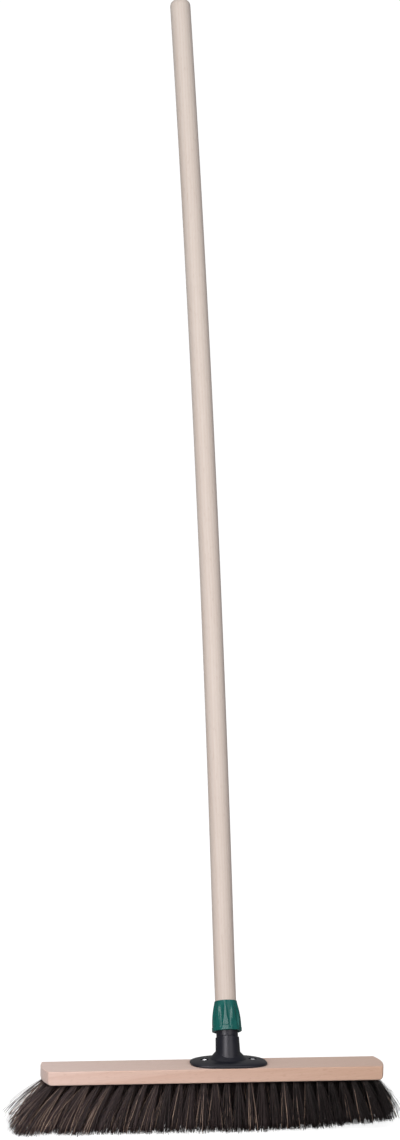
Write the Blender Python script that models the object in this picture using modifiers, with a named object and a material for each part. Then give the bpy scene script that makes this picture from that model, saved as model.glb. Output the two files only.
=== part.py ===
"""Wide floor broom with a wooden block, five rows of bristle tufts, an angled handle socket with a
clamping nut, and a long wooden handle.

Frame: metres, +Z up. The bristle tips stand on z = 0 under the middle of the block, the block runs
along X with its front at -Y, and the handle leans back towards +Y.
"""
import math
import random

import bmesh
import bpy
import numpy as np
from mathutils import Matrix, Vector

MM = 0.001

# Clearance between pieces that touch on the real broom
FIT_GAP = 0.3 * MM

# Block
BLOCK_LENGTH = 406 * MM
BLOCK_DEPTH = 56 * MM
BLOCK_THICKNESS = 16.5 * MM
END_CROWN = 4.5 * MM            # how far the middle of each end stands past its corners
END_CROWN_STEPS = 12
LOWER_END_ROUND = 4 * MM        # rounding under the two ends
LOWER_END_STEPS = 4
EDGE_ROUND = 1.2 * MM
EDGE_ROUND_STEPS = 2
CREASE_ANGLE = math.radians(40)  # edges of the block that turn more are rounded

# Bristles
BRISTLE_LENGTH = 59 * MM        # free length under the block
ROW_COUNT = 5
TUFT_PITCH = 13.6 * MM          # about, so that a whole number of tufts fills the block
END_MARGIN = 12.4 * MM          # from the block's end to the first tuft's centre
SIDE_MARGIN = 6.8 * MM          # from the block's side to the outer rows' centre
SLICE_WIDTH = 6.4 * MM
SLICE_HEIGHT = 4 * MM
SLICE_END = 3.5 * MM            # backing past the centre of the last tuft
LEAN_LEFT = math.radians(38)    # lean at the block's ends
LEAN_RIGHT = math.radians(23)
LEAN_GROWTH_LEFT = 0.85         # exponent of the lean's growth from the block's middle
LEAN_GROWTH_RIGHT = 1.6
ROW_SPREAD = 1.25               # rows stand this much wider apart at the tips
MID_REACH = 0.75                # share of the sideways reach made by half the length
TRIM_DEPTH = 0.5 * MM           # tips that reach lower than the floor are cut flat there
RAGGEDNESS = 2.4 * MM
RIGHT_WEAR = 10 * MM            # the right end is worn shorter
WEAR_GROWTH = 1.3               # exponent of the wear's growth from the block's middle
STRAND_SIDES = 3
ROOT_RADIUS = 1.15 * MM
MID_RADIUS = 1.9 * MM
TIP_RADIUS = 1.9 * MM
ROOT_FAN = 2.0 * MM             # from a tuft's middle strand to the two beside it
MID_FAN = 3.6 * MM
TIP_FAN = 4.4 * MM
TIP_JITTER = 0.5 * MM
ROOT_SINK = 1.0 * MM            # strands start inside their backing
GOLDEN_ANGLE = math.radians(137.5)

# Handle socket, with lengths along the handle's axis counted from the block's top
SOCKET_OFFSET = 19 * MM         # to the right of the block's middle
HANDLE_TILT = math.radians(22)
FLANGE_LENGTH = 91 * MM
FLANGE_DEPTH = 55.4 * MM
FLANGE_SQUARENESS = 2.8         # exponent of the oval, 2 is an ellipse
RIM_HEIGHT = 1.9 * MM           # upright edge, from which the dome rounds over
RIM_EDGE = 0.5 * MM             # small chamfer under that edge
DOME_HEIGHT = 5.9 * MM
DOME_STEPS = 6
NECK_RADIUS = 14.6 * MM
NECK_TOP_RADIUS = 13.9 * MM
NECK_FILLET = 4.5 * MM          # between dome and neck
FILLET_STEPS = 5
NECK_TOP = 31 * MM
COLLAR_STEP = 0.5 * MM          # chamfer from the neck in to the collar
COLLAR_RADIUS = 12.8 * MM
GROOVE_DEPTH = 0.35 * MM
GROOVE_WIDTH = 1.0 * MM
THREAD_RADIUS = 14.1 * MM
COLLET_TIP_RADIUS = 13.4 * MM
COLLET_CONE_LENGTH = 6 * MM
COLLET_SLOTS = 3                # sawn right across, so they leave twice as many fingers
SLOT_WIDTH = 1.6 * MM
SLOT_DEPTH = 18 * MM
RING_POINTS = 56

# Clamping nut
NUT_START = 38 * MM
NUT_LENGTH = 36 * MM
NUT_BAND_RADIUS = 17.6 * MM
NUT_BAND_HEIGHT = 4.8 * MM
NUT_FOOT_EDGE = 0.6 * MM        # rounding under the band
NUT_GROOVE_DEPTH = 0.4 * MM     # fine groove between the band and the ridges
NUT_GROOVE_WIDTH = 0.9 * MM
NUT_RIDGE_RADIUS = 17.2 * MM
NUT_RIM_RADIUS = 13.3 * MM
NUT_LIP = 11 * MM               # length of the close bore at the top
FLUTES = 10
FLUTE_DEPTH = 1.2 * MM
FLUTE_FOOT = 1.4 * MM           # height at which the flutes run out in the band
RIDGE_TURN = math.radians(-5.5)  # one ridge points at the viewer
RIDGE_FOOT = 0.63               # a ridge's width at the foot, as a share of the pitch
# The nut above its groove, from the ridges' foot to the rim: share of the height, share of the way
# from the ridge radius in to the rim radius, share of the flutes' depth, ridge width over the pitch
NUT_SHAPE = (
    (0.00, 0.00, 0.60, 0.62),
    (0.16, 0.04, 0.95, 0.52),
    (0.30, 0.09, 1.00, 0.32),
    (0.46, 0.19, 1.00, 0.20),
    (0.62, 0.36, 0.85, 0.14),
    (0.76, 0.57, 0.60, 0.10),
    (0.88, 0.78, 0.35, 0.10),
    (0.96, 0.91, 0.15, 0.10),
    (1.00, 1.00, 0.00, 0.10),
)
RIDGE_POINTS = 3
FLUTE_POINTS = 5

# Handle
HANDLE_DIAMETER = 25 * MM
HANDLE_LENGTH = 1300 * MM
HANDLE_START = 20 * MM
HANDLE_TIP_DIAMETER = 20 * MM   # turned down where it seats in the socket
HANDLE_TAPER = 32 * MM
HANDLE_DOME = 9 * MM
HANDLE_BOW = 5.4 * MM           # the rod's natural bow, towards +X at mid length
BOW_SOFTNESS = 0.03             # share of the length over which the bow sets in
HANDLE_SIDES_STEP = 10          # bevel resolution of the rod
HANDLE_RINGS = 26
DOME_RINGS = 6
DOME_END = math.radians(82)     # the dome closes with a small flat from here

# Flange screws
SCREW_SPACING = 57.4 * MM
SCREW_FLOOR = 2.2 * MM          # flange left under the head
SCREW_HEAD_DIAMETER = 8.4 * MM
SCREW_HEAD_HEIGHT = 2.6 * MM
SCREW_DIAMETER = 3.5 * MM
SCREW_LENGTH = 14 * MM          # under the head
SCREW_POINT = 4 * MM
SCREW_HEAD_STEPS = 6
SCREW_STEPS = 20
RECESS_DIAMETER = 10 * MM
HOLE_STEPS = 24

# Places worked out from the sizes above
BLOCK_BOTTOM = BRISTLE_LENGTH
BLOCK_TOP = BLOCK_BOTTOM + BLOCK_THICKNESS
HALF_LENGTH = BLOCK_LENGTH / 2
LONG_ROW_LENGTH = BLOCK_LENGTH - 2 * END_MARGIN
LONG_ROW_TUFTS = round(LONG_ROW_LENGTH / TUFT_PITCH) + 1
EVEN_PITCH = LONG_ROW_LENGTH / (LONG_ROW_TUFTS - 1)
ROW_PITCH = (BLOCK_DEPTH - 2 * SIDE_MARGIN) / (ROW_COUNT - 1)
NUT_END = NUT_START + NUT_LENGTH
COLLET_TOP = NUT_END - NUT_LIP - FIT_GAP
HANDLE_RADIUS = HANDLE_DIAMETER / 2
HANDLE_TIP_RADIUS = HANDLE_TIP_DIAMETER / 2
AXIS = Vector((0, math.sin(HANDLE_TILT), math.cos(HANDLE_TILT)))
BACKWARDS = Vector((0, math.cos(HANDLE_TILT), -math.sin(HANDLE_TILT)))
CUT_MARGIN = 2 * MM             # cutters stand this much proud of what they cut
MERGE_DISTANCE = 0.01 * MM
TURN_STEPS = 36                 # sides of a turned piece
SHARP_EDGE = math.radians(32)   # edges that turn more are shaded sharp


def clear_scene():
    """Removes every object that the file holds."""
    for item in list(bpy.data.objects):
        bpy.data.objects.remove(item, do_unlink=True)


def new_collection(name):
    """Makes a collection under the scene."""
    group = bpy.data.collections.new(name)
    bpy.context.scene.collection.children.link(group)
    return group


clear_scene()
PARTS = new_collection("wide_floor_broom")
CUTTERS = new_collection("cutters")


def material(name, colour, roughness, metallic=0.0):
    """A Principled material with one colour."""
    made = bpy.data.materials.new(name)
    made.use_nodes = True
    shader = made.node_tree.nodes["Principled BSDF"]
    shader.inputs["Base Color"].default_value = (*colour, 1.0)
    shader.inputs["Roughness"].default_value = roughness
    shader.inputs["Metallic"].default_value = metallic
    return made


def add_object(name, mesh, finish=None, at=(0, 0, 0), parent=None):
    """Puts a mesh in the scene: a part when it has a finish, a hidden cutter when it has none."""
    made = bpy.data.objects.new(name, mesh)
    made.location = at
    made.parent = parent
    if finish is None:
        CUTTERS.objects.link(made)
        made.hide_render = True
        made.display_type = "WIRE"
        return made
    PARTS.objects.link(made)
    mesh.materials.append(finish)
    return made


def loft(name, rings):
    """A closed mesh through rings of points, with flat ends, facing out.

    rings is an array of shape (rings, points, 3); neighbours are joined by four-sided faces.
    """
    points = rings.shape[1]
    shape = bmesh.new()
    rows = [[shape.verts.new(point) for point in ring] for ring in rings]
    for lower, upper in zip(rows, rows[1:]):
        for k in range(points):
            after = (k + 1) % points
            shape.faces.new((lower[k], lower[after], upper[after], upper[k]))
    shape.faces.new(rows[0])
    shape.faces.new(rows[-1])
    bmesh.ops.recalc_face_normals(shape, faces=shape.faces)
    mesh = bpy.data.meshes.new(name)
    shape.to_mesh(mesh)
    shape.free()
    return mesh


def box(name, size):
    """A box around the origin."""
    shape = bmesh.new()
    bmesh.ops.create_cube(shape, size=1)
    bmesh.ops.scale(shape, vec=size, verts=shape.verts)
    mesh = bpy.data.meshes.new(name)
    shape.to_mesh(mesh)
    shape.free()
    return mesh


def turned(name, profile, finish=None, at=(0, 0, 0), parent=None, steps=TURN_STEPS):
    """A turned piece: (radius, height) pairs, top to bottom, swept round Z by a Screw modifier."""
    mesh = bpy.data.meshes.new(name)
    points = [(radius, 0, height) for radius, height in profile]
    edges = [(k, k + 1) for k in range(len(points) - 1)]
    mesh.from_pydata(points, edges, [])
    made = add_object(name, mesh, finish, at, parent)
    sweep = made.modifiers.new("sweep", "SCREW")
    sweep.angle = math.tau
    sweep.steps = steps
    sweep.render_steps = steps
    sweep.use_merge_vertices = True
    sweep.merge_threshold = MERGE_DISTANCE
    return made


def boolean(target, cutter, operation="DIFFERENCE"):
    """Adds an exact Boolean of the cutter to the target."""
    cut = target.modifiers.new(cutter.name, "BOOLEAN")
    cut.operation = operation
    cut.object = cutter
    cut.solver = "EXACT"


def settle(made):
    """Turns an object's modifiers into its mesh and shades it smooth between its sharp edges."""
    bpy.context.view_layer.update()
    evaluated = made.evaluated_get(bpy.context.evaluated_depsgraph_get())
    mesh = bpy.data.meshes.new_from_object(evaluated)
    made.modifiers.clear()
    made.data = mesh
    mesh.name = made.name
    mesh.shade_smooth()
    mesh.set_sharp_from_angle(angle=SHARP_EDGE)


def row_place(row):
    """The middle of a row across the block, its tufts, and its half length of backing.

    Every other row has one tuft less, so its tufts stand half a pitch along.
    """
    y = (row - (ROW_COUNT - 1) / 2) * ROW_PITCH
    tufts = LONG_ROW_TUFTS - row % 2
    half = LONG_ROW_LENGTH / 2 + SLICE_END
    return y, tufts, half


def block_outline():
    """The block seen from above: straight sides, and ends that are arcs standing END_CROWN proud."""
    half_depth = BLOCK_DEPTH / 2
    radius = (half_depth ** 2 + END_CROWN ** 2) / (2 * END_CROWN)
    centre = HALF_LENGTH - radius
    reach = math.asin(half_depth / radius)
    angles = np.linspace(-reach, reach, END_CROWN_STEPS + 1)
    right = [(centre + radius * math.cos(a), radius * math.sin(a)) for a in angles]
    left = [(-x, -y) for x, y in right]
    return right + left


def round_over(shape, edges, radius, steps):
    """Rounds edges of a bmesh."""
    bmesh.ops.bevel(shape, geom=edges, offset=radius, segments=steps, profile=0.5, affect="EDGES")


def make_block(finish):
    """The wooden block, with a groove for each row's backing and a pilot hole for each screw."""
    outline = block_outline()
    rings = np.array([[(x, y, z) for x, y in outline] for z in (BLOCK_BOTTOM, BLOCK_TOP)])
    mesh = loft("broom_block", rings)
    shape = bmesh.new()
    shape.from_mesh(mesh)
    middle = (BLOCK_BOTTOM + BLOCK_TOP) / 2
    corner = HALF_LENGTH - END_CROWN - FIT_GAP
    lower_ends = [
        edge for edge in shape.edges
        if all(v.co.z < middle and abs(v.co.x) > corner for v in edge.verts)
        and edge.calc_length() < BLOCK_DEPTH / 2
    ]
    round_over(shape, lower_ends, LOWER_END_ROUND, LOWER_END_STEPS)
    creases = [edge for edge in shape.edges if edge.calc_face_angle(0) > CREASE_ANGLE]
    round_over(shape, creases, EDGE_ROUND, EDGE_ROUND_STEPS)
    shape.to_mesh(mesh)
    shape.free()
    block = add_object("broom_block", mesh, finish)

    groove_height = SLICE_HEIGHT + FIT_GAP
    for row in range(ROW_COUNT):
        y, _, half = row_place(row)
        size = (2 * (half + FIT_GAP), SLICE_WIDTH + 2 * FIT_GAP, groove_height + CUT_MARGIN)
        middle_height = BLOCK_BOTTOM + (groove_height - CUT_MARGIN) / 2
        name = f"groove_{row + 1}"
        boolean(block, add_object(name, box(name, size), at=(0, y, middle_height)))

    pilot_radius = SCREW_DIAMETER / 2 + FIT_GAP
    pilot_depth = SCREW_LENGTH - SCREW_FLOOR - FIT_GAP
    for side, x in screw_places():
        profile = [(0, CUT_MARGIN), (pilot_radius, CUT_MARGIN), (pilot_radius, SCREW_POINT - pilot_depth),
                   (0, -pilot_depth)]
        boolean(block, turned(f"pilot_{side}", profile, at=(x, 0, BLOCK_TOP), steps=HOLE_STEPS))
    settle(block)
    return block


def screw_places():
    """The two screws' names and places along X."""
    return (("left", SOCKET_OFFSET - SCREW_SPACING / 2), ("right", SOCKET_OFFSET + SCREW_SPACING / 2))


def sideways_reach(x):
    """How far a tuft's tip lies outwards of its root: its lean grows from the middle to each end."""
    share = abs(x) / HALF_LENGTH
    if x < 0:
        return -math.tan(LEAN_LEFT * share ** LEAN_GROWTH_LEFT) * BRISTLE_LENGTH
    return math.tan(LEAN_RIGHT * share ** LEAN_GROWTH_RIGHT) * BRISTLE_LENGTH


def tip_height(x, ragged):
    """A tip's height: worn shorter towards the right end, ragged, and cut flat at the floor."""
    worn = RIGHT_WEAR * max(0.0, x / HALF_LENGTH) ** WEAR_GROWTH
    return max(0.0, worn + ragged - TRIM_DEPTH)


def strand_rings(x, y, angle, side, ragged, jitter):
    """Three level rings of one strand, from inside the backing to the tip.

    side is -1, 0 or 1: the strand's place across its tuft, along the direction of angle.
    """
    reach = sideways_reach(x)
    spread = y * (ROW_SPREAD - 1)
    end = tip_height(x, ragged)
    levels = (
        (BLOCK_BOTTOM + ROOT_SINK, 0.0, ROOT_FAN, ROOT_RADIUS, 0.0),
        (BLOCK_BOTTOM / 2, MID_REACH, MID_FAN, MID_RADIUS, 0.5),
        (end, 1.0, TIP_FAN, TIP_RADIUS, 1.0),
    )
    rings = []
    for height, share, fan, radius, loose in levels:
        centre_x = x + reach * share + side * fan * math.cos(angle) + jitter[0] * loose
        centre_y = y + spread * share + side * fan * math.sin(angle) + jitter[1] * loose
        corners = [angle + math.tau * k / STRAND_SIDES for k in range(STRAND_SIDES)]
        rings.append([(centre_x + radius * math.cos(a), centre_y + radius * math.sin(a), height) for a in corners])
    return rings


def make_bristle_row(row, finish):
    """One row of tufts, three strands each, fused to the slice of backing that holds them."""
    chance = random.Random(row)
    y, tufts, half = row_place(row)
    first = -(tufts - 1) * EVEN_PITCH / 2
    strands = bpy.data.meshes.new("strands")
    vertices = []
    faces = []
    centres = []
    for tuft in range(tufts):
        x = first + tuft * EVEN_PITCH
        angle = (tuft - tufts // 2) * GOLDEN_ANGLE + row
        for side in (-1, 0, 1):
            loose = 0 if side == 0 else 1
            ragged = chance.uniform(0, RAGGEDNESS) * loose
            jitter = [chance.uniform(-TIP_JITTER, TIP_JITTER) * loose for _ in range(2)]
            rings = strand_rings(x, y, angle, side, ragged, jitter)
            start = len(vertices)
            vertices += [point for ring in rings for point in ring]
            centres.append(np.mean(np.array(rings), axis=1))
            for low in range(start, len(vertices) - STRAND_SIDES, STRAND_SIDES):
                for k in range(STRAND_SIDES):
                    after = (k + 1) % STRAND_SIDES
                    faces.append((low + k, low + STRAND_SIDES + k, low + STRAND_SIDES + after, low + after))
            faces.append(tuple(start + k for k in range(STRAND_SIDES)))
            faces.append(tuple(len(vertices) - 1 - k for k in range(STRAND_SIDES)))
    strands.from_pydata(vertices, [], faces)
    helper = add_object(f"strands_{row + 1}", strands)
    name = f"bristle_row_{row + 1}"
    backing = box(name, (2 * half, SLICE_WIDTH, SLICE_HEIGHT))
    backing.transform(Matrix.Translation((0, y, BLOCK_BOTTOM + SLICE_HEIGHT / 2)))
    made = add_object(name, backing, finish)
    boolean(made, helper, "UNION")
    settle(made)
    return made, np.array(centres)


def oval(angles, inset, height):
    """A level ring of the flange: a squarish oval, drawn in by inset."""
    power = 2 / FLANGE_SQUARENESS
    across = np.cos(angles)
    along = np.sin(angles)
    x = (FLANGE_LENGTH / 2 - inset) * np.sign(across) * np.abs(across) ** power
    y = (FLANGE_DEPTH / 2 - inset) * np.sign(along) * np.abs(along) ** power
    return np.stack([x, y, np.full_like(x, height)], axis=1)


def neck_ring(angles, along_axis, radius):
    """A ring square to the handle's axis."""
    centre = np.array(AXIS) * along_axis
    outwards = np.outer(np.cos(angles), (1, 0, 0)) + np.outer(np.sin(angles), BACKWARDS)
    return centre + radius * outwards


def neck_slice(angles, level):
    """The neck's outline where a level plane cuts it."""
    along_axis = (level + NECK_RADIUS * np.sin(angles) * math.sin(HANDLE_TILT)) / math.cos(HANDLE_TILT)
    outwards = np.outer(np.cos(angles), (1, 0, 0)) + np.outer(np.sin(angles), BACKWARDS)
    return np.outer(along_axis, AXIS) + NECK_RADIUS * outwards


def socket_rings():
    """The socket's outer rings, from the flange's foot to the tip of the collet.

    The dome is a quarter ellipse from the rim inwards, the same all round. A concave fillet leads
    from it up the neck, as a Bezier curve whose middle point is where dome and neck would meet.
    """
    angles = np.linspace(0, math.tau, RING_POINTS, endpoint=False)
    rim = oval(angles, 0.0, RIM_HEIGHT)
    rings = [oval(angles, RIM_EDGE, FIT_GAP), oval(angles, 0.0, FIT_GAP + RIM_EDGE), rim]
    meeting = neck_slice(angles, DOME_HEIGHT)
    outwards = (rim - meeting) * (1, 1, 0)
    outwards /= np.linalg.norm(outwards, axis=1, keepdims=True)
    dome_end = meeting + NECK_FILLET * outwards
    for turn in np.linspace(0, math.pi / 2, DOME_STEPS + 1)[1:]:
        share = (1 - math.cos(turn), 1 - math.cos(turn), math.sin(turn))
        rings.append(rim + (dome_end - rim) * share)
    fillet_end = neck_slice(angles, DOME_HEIGHT + NECK_FILLET)
    for t in np.linspace(0, 1, FILLET_STEPS + 1)[1:]:
        rings.append((1 - t) ** 2 * dome_end + 2 * (1 - t) * t * meeting + t ** 2 * fillet_end)
    groove_start = NECK_TOP + COLLAR_STEP
    thread_start = NUT_START + FIT_GAP
    profile = (
        (NECK_TOP, NECK_TOP_RADIUS),
        (groove_start, COLLAR_RADIUS),
        (groove_start + GROOVE_WIDTH / 4, COLLAR_RADIUS - GROOVE_DEPTH),
        (groove_start + GROOVE_WIDTH * 3 / 4, COLLAR_RADIUS - GROOVE_DEPTH),
        (groove_start + GROOVE_WIDTH, COLLAR_RADIUS),
        (thread_start, COLLAR_RADIUS),
        (thread_start + THREAD_RADIUS - COLLAR_RADIUS, THREAD_RADIUS),
        (COLLET_TOP - COLLET_CONE_LENGTH, THREAD_RADIUS),
        (COLLET_TOP, COLLET_TIP_RADIUS),
    )
    rings += [neck_ring(angles, along, radius) for along, radius in profile]
    return np.array(rings)


def handle_radius(along):
    """The rod's radius at a distance from its lower end: turned down at the foot, domed on top."""
    if along < HANDLE_TAPER:
        return HANDLE_TIP_RADIUS + (HANDLE_RADIUS - HANDLE_TIP_RADIUS) * along / HANDLE_TAPER
    over = (along - (HANDLE_LENGTH - HANDLE_DOME)) / HANDLE_DOME
    if over <= 0:
        return HANDLE_RADIUS
    return HANDLE_RADIUS * math.sqrt(max(0.0, 1 - over ** 2))


def make_socket(finish, axis):
    """The black socket: domed flange, angled neck, bore and slotted collet in one moulding."""
    socket = add_object("handle_socket", loft("handle_socket", socket_rings()), finish,
                        at=(SOCKET_OFFSET, 0, BLOCK_TOP))
    mouth = HANDLE_RADIUS + FIT_GAP
    floor_radius = HANDLE_TIP_RADIUS + FIT_GAP
    bore = [(0, COLLET_TOP + CUT_MARGIN), (mouth, COLLET_TOP + CUT_MARGIN), (mouth, HANDLE_START + HANDLE_TAPER),
            (floor_radius, HANDLE_START - FIT_GAP), (0, HANDLE_START - FIT_GAP)]
    boolean(socket, turned("socket_bore", bore, parent=axis))
    slot_height = SLOT_DEPTH + CUT_MARGIN
    slot_size = (2 * THREAD_RADIUS + 2 * CUT_MARGIN, SLOT_WIDTH, slot_height)
    for slot in range(COLLET_SLOTS):
        name = f"collet_slot_{slot + 1}"
        cutter = add_object(name, box(name, slot_size), parent=axis,
                            at=(0, 0, COLLET_TOP - SLOT_DEPTH + slot_height / 2))
        cutter.rotation_euler.z = math.pi * slot / COLLET_SLOTS
        boolean(socket, cutter)
    top = RIM_HEIGHT + DOME_HEIGHT + CUT_MARGIN
    hole = SCREW_DIAMETER / 2 + FIT_GAP
    recess = RECESS_DIAMETER / 2
    for side, x in screw_places():
        profile = [(0, top), (recess, top), (recess, SCREW_FLOOR), (hole, SCREW_FLOOR), (hole, -CUT_MARGIN),
                   (0, -CUT_MARGIN)]
        boolean(socket, turned(f"screw_recess_{side}", profile, at=(x, 0, BLOCK_TOP), steps=HOLE_STEPS))
    settle(socket)
    return socket


def make_screw(side, x, finish):
    """A round-headed wood screw, upright through the flange into the block."""
    head = SCREW_HEAD_DIAMETER / 2
    shank = SCREW_DIAMETER / 2
    dome = [(head * math.sin(a), SCREW_HEAD_HEIGHT * math.cos(a)) for a in np.linspace(0, math.pi / 2, SCREW_HEAD_STEPS + 1)]
    profile = dome + [(shank, 0), (shank, SCREW_POINT - SCREW_LENGTH), (0, -SCREW_LENGTH)]
    seat = BLOCK_TOP + SCREW_FLOOR + FIT_GAP
    made = turned(f"flange_screw_{side}", profile, finish, at=(x, 0, seat), steps=SCREW_STEPS)
    settle(made)
    return made


def nut_ring(height, radius, hollow, ridge, limit=math.inf):
    """One level ring of the nut: round ridges with a hollow flute between each two.

    hollow is the flutes' depth and ridge a ridge's width over the pitch. Nothing stands out past
    limit, so a groove is cut in the ridges alone where the flutes are deeper.
    """
    pitch = math.tau / FLUTES
    ring = []
    for flute in range(FLUTES):
        start = RIDGE_TURN - math.pi / 2 + (flute - ridge / 2) * pitch
        ring += [(start + ridge * pitch * t, 0.0) for t in np.linspace(0, 1, RIDGE_POINTS)]
        start += ridge * pitch
        shares = np.linspace(0, 1, FLUTE_POINTS + 2)[1:-1]
        ring += [(start + (1 - ridge) * pitch * t, 4 * t * (1 - t)) for t in shares]
    angles, depth = np.array(ring).T
    radii = np.minimum(radius - hollow * depth, limit)
    return np.stack([radii * np.cos(angles), radii * np.sin(angles), np.full_like(radii, height)], axis=1)


def nut_rings():
    """The nut's outer rings: a band at the foot, a fine groove, then fluted up to the rim."""
    band = NUT_BAND_HEIGHT
    top = band + NUT_GROOVE_WIDTH
    groove = NUT_RIDGE_RADIUS - NUT_GROOVE_DEPTH
    foot_hollow = NUT_SHAPE[0][2] * FLUTE_DEPTH
    rings = [
        nut_ring(0, NUT_BAND_RADIUS - NUT_FOOT_EDGE, 0, RIDGE_FOOT),
        nut_ring(NUT_FOOT_EDGE, NUT_BAND_RADIUS, 0, RIDGE_FOOT),
        nut_ring(FLUTE_FOOT, NUT_BAND_RADIUS, 0, RIDGE_FOOT),
        nut_ring(band, NUT_BAND_RADIUS, foot_hollow, RIDGE_FOOT),
        nut_ring(band + NUT_GROOVE_WIDTH / 3, NUT_BAND_RADIUS, foot_hollow, RIDGE_FOOT, groove),
        nut_ring(top - NUT_GROOVE_WIDTH / 3, NUT_RIDGE_RADIUS, foot_hollow, RIDGE_FOOT, groove),
    ]
    for share, inwards, hollow, ridge in NUT_SHAPE:
        height = top + share * (NUT_LENGTH - top)
        radius = NUT_RIDGE_RADIUS + inwards * (NUT_RIM_RADIUS - NUT_RIDGE_RADIUS)
        rings.append(nut_ring(height, radius, hollow * FLUTE_DEPTH, ridge))
    return np.array(rings)


def make_nut(finish, axis):
    """The green clamping nut: fluted outside, bored for the thread, coned over the collet's tip."""
    nut = add_object("clamp_nut", loft("clamp_nut", nut_rings()), finish, at=(0, 0, NUT_START), parent=axis)
    thread = THREAD_RADIUS + FIT_GAP
    cone_end = COLLET_TIP_RADIUS + FIT_GAP
    mouth = HANDLE_RADIUS + FIT_GAP
    top = NUT_LENGTH + CUT_MARGIN
    lip = NUT_LENGTH - NUT_LIP
    bore = [(0, top), (mouth, top), (mouth, lip), (cone_end, lip),
            (thread, lip - COLLET_CONE_LENGTH), (thread, -CUT_MARGIN), (0, -CUT_MARGIN)]
    boolean(nut, turned("nut_bore", bore, at=(0, 0, NUT_START), parent=axis))
    settle(nut)
    return nut


def bow(along):
    """The rod's sideways bow: none in the nut, then a long even curve that ends at the top."""
    clear = NUT_END - HANDLE_START
    t = max(0.0, (along - clear) / (HANDLE_LENGTH - clear))
    rise = math.sqrt(t ** 2 + BOW_SOFTNESS ** 2) - BOW_SOFTNESS
    return 4 * HANDLE_BOW * rise * (1 - t)


def make_handle(finish, axis):
    """The rod: a curve with a round bevel, whose points set the radius of taper, rod and dome."""
    straight_end = HANDLE_LENGTH - HANDLE_DOME
    places = [0.0, HANDLE_TAPER / 2, HANDLE_TAPER, NUT_END - HANDLE_START]
    places += list(np.linspace(NUT_END - HANDLE_START, straight_end, HANDLE_RINGS)[1:])
    places += [straight_end + HANDLE_DOME * math.sin(a) for a in np.linspace(0, DOME_END, DOME_RINGS)[1:]]
    line = bpy.data.curves.new("handle", "CURVE")
    line.dimensions = "3D"
    line.bevel_depth = HANDLE_RADIUS
    line.bevel_resolution = HANDLE_SIDES_STEP
    line.use_fill_caps = True
    spline = line.splines.new("POLY")
    spline.points.add(len(places) - 1)
    for point, along in zip(spline.points, places):
        point.co = (bow(along), 0, along, 1)
        point.radius = handle_radius(along) / HANDLE_RADIUS
    rod = bpy.data.objects.new("handle_line", line)
    PARTS.objects.link(rod)
    rod.location = (0, 0, HANDLE_START)
    rod.parent = axis
    bpy.context.view_layer.update()
    mesh = bpy.data.meshes.new_from_object(rod.evaluated_get(bpy.context.evaluated_depsgraph_get()))
    bpy.data.objects.remove(rod, do_unlink=True)
    shape = bmesh.new()
    shape.from_mesh(mesh)
    bmesh.ops.remove_doubles(shape, verts=shape.verts, dist=MERGE_DISTANCE)
    bmesh.ops.recalc_face_normals(shape, faces=shape.faces)
    shape.to_mesh(mesh)
    shape.free()
    mesh.name = "handle"
    mesh.shade_smooth()
    mesh.set_sharp_from_angle(angle=SHARP_EDGE)
    return add_object("handle", mesh, finish, at=(0, 0, HANDLE_START), parent=axis)


def closest_strands(rows):
    """The least distance between the middle lines of two strands, at mid length and at the tips."""
    centres = np.concatenate(rows)
    least = []
    for level in range(1, centres.shape[1]):
        points = centres[:, level, :2]
        apart = np.linalg.norm(points[:, None] - points[None], axis=2)
        np.fill_diagonal(apart, 1.0)
        least.append(apart.min())
    return least


def main():
    """Builds the broom."""
    beech = material("beech_block", (0.66, 0.43, 0.32), 0.6)
    pale_wood = material("handle_wood", (0.75, 0.62, 0.53), 0.6)
    hair = material("bristle", (0.05, 0.035, 0.03), 0.8)
    black = material("black_plastic", (0.03, 0.03, 0.035), 0.4)
    green = material("green_plastic", (0.02, 0.12, 0.11), 0.4)
    steel = material("screw_steel", (0.7, 0.7, 0.72), 0.3, 1.0)

    axis = bpy.data.objects.new("handle_axis", None)
    PARTS.objects.link(axis)
    axis.location = (SOCKET_OFFSET, 0, BLOCK_TOP)
    axis.rotation_euler.x = -HANDLE_TILT

    make_block(beech)
    rows = []
    for row in range(ROW_COUNT):
        _, centres = make_bristle_row(row, hair)
        rows.append(centres)
    at_middle, at_tips = closest_strands(rows)
    print(f"strands: {sum(len(r) for r in rows)}, closest middle lines {at_middle / MM:.2f} mm"
          f" at mid length and {at_tips / MM:.2f} mm at the tips")
    make_socket(black, axis)
    make_nut(green, axis)
    make_handle(pale_wood, axis)
    for side, x in screw_places():
        make_screw(side, x, steel)


main()
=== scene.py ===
# %% [markdown]
# # A wide floor broom
# The broom has a beech head full of dark bristles, a black socket that holds a long pale handle at a slant,
# and a green nut that clamps the handle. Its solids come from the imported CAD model, and they stay where they
# are. This lesson gives each of them a finish, puts thousands of fine hairs in place of the CAD model's
# few thick strands, makes the nut and the two screws again with more detail, and sets up a plain studio.

import math

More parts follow.
